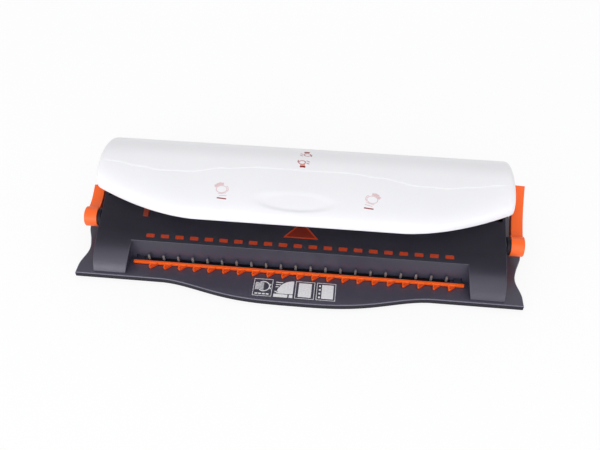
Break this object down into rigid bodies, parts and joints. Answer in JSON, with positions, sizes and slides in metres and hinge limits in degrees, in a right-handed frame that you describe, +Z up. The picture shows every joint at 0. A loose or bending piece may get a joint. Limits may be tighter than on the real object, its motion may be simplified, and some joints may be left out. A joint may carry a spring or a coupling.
{
  "type": "comb binding machine",
  "caption": "Desktop comb binding machine: a wide white press cover over a dark sloped paper shelf, orange side levers and a toothed orange slider that spreads a plastic comb on steel tines.",
  "frame": {"origin": "on the table, under the middle of the machine", "axes": "+X along the machine to the user's right, -Y towards the user, +Z up"},
  "size_m": [0.4338, 0.166, 0.0815],
  "materials": {
    "dark_plastic": "fine grain, satin",
    "white_plastic": "smooth, soft gloss",
    "orange_plastic": "smooth, soft gloss",
    "bright_steel": "ground",
    "zinc_steel": "zinc plated",
    "nylon": "natural",
    "rubber": "matt"
  },
  "bodies": {
    "chassis": {"base_plate": "dark_plastic", "rubber_feet": "rubber", "base_screws": "zinc_steel", "body_shell": "dark_plastic", "left_frame": "zinc_steel", "right_frame": "zinc_steel", "frame_screws": "zinc_steel", "left_gear_bracket": "zinc_steel", "right_gear_bracket": "zinc_steel", "bracket_screws": "zinc_steel", "idler_pins": "bright_steel", "shaft_bushes": "nylon", "tine_plate": "bright_steel", "tine_screws": "zinc_steel", "die_plate": "bright_steel", "throat_stop": "zinc_steel", "edge_stop": "orange_plastic", "guide_plate": "bright_steel", "plate_screws": "zinc_steel", "guide_posts": "bright_steel", "return_springs": "bright_steel", "hinge_pins": "bright_steel"},
    "cover": {"cover": "white_plastic", "left_hinge_bracket": "zinc_steel", "right_hinge_bracket": "zinc_steel", "hinge_screws": "zinc_steel", "press_pads": "nylon"},
    "punch": {"punch_bar": "zinc_steel", "punch_pins": "bright_steel"},
    "levers": {"lever_shaft": "bright_steel", "left_lever": "orange_plastic", "right_lever": "orange_plastic", "lever_screws": "zinc_steel", "left_pinion": "nylon", "right_pinion": "nylon"},
    "left_idler_gear": {"left_idler": "nylon"},
    "right_idler_gear": {"right_idler": "nylon"},
    "comb_slide": {"comb_slider": "orange_plastic"},
    "tray": {"chip_tray": "dark_plastic"}
  },
  "joints": [
    {"name": "cover_press", "type": "hinge", "parent": "chassis", "child": "cover", "pos_m": [0, 0.066, 0.05], "axis": [1, 0, 0], "range_deg": [0, 7], "stiffness_Nm_per_rad": 2, "springref_deg": -17.19},
    {"name": "punch_slide", "type": "slide", "parent": "chassis", "child": "punch", "axis": [0, 0.342, -0.9397], "range_m": [0, 0.006], "deforming": ["return_springs"]},
    {"name": "lever_pull", "type": "hinge", "parent": "chassis", "child": "levers", "pos_m": [0, -0.0102, 0.02706], "axis": [1, 0, 0], "range_deg": [0, 90]},
    {"name": "left_idler_turn", "type": "hinge", "parent": "chassis", "child": "left_idler_gear", "pos_m": [0, -0.01947, 0.01795], "axis": [1, 0, 0], "range_deg": [-105.1, 0]},
    {"name": "right_idler_turn", "type": "hinge", "parent": "chassis", "child": "right_idler_gear", "pos_m": [0, -0.01947, 0.01795], "axis": [1, 0, 0], "range_deg": [-105.1, 0]},
    {"name": "comb_open", "type": "slide", "parent": "chassis", "child": "comb_slide", "axis": [0, -1, 0], "range_m": [0, 0.011]},
    {"name": "tray_pull", "type": "slide", "parent": "chassis", "child": "tray", "axis": [0, 1, 0], "range_m": [0, 0.07]}
  ],
  "couplings": [
    {"joint": "punch_slide", "follows": "cover_press", "m_per_rad": 0.0491},
    {"joint": "left_idler_turn", "follows": "lever_pull", "ratio": -1.1667},
    {"joint": "right_idler_turn", "follows": "lever_pull", "ratio": -1.1667},
    {"joint": "comb_open", "follows": "lever_pull", "m_per_rad": 0.007}
  ]
}
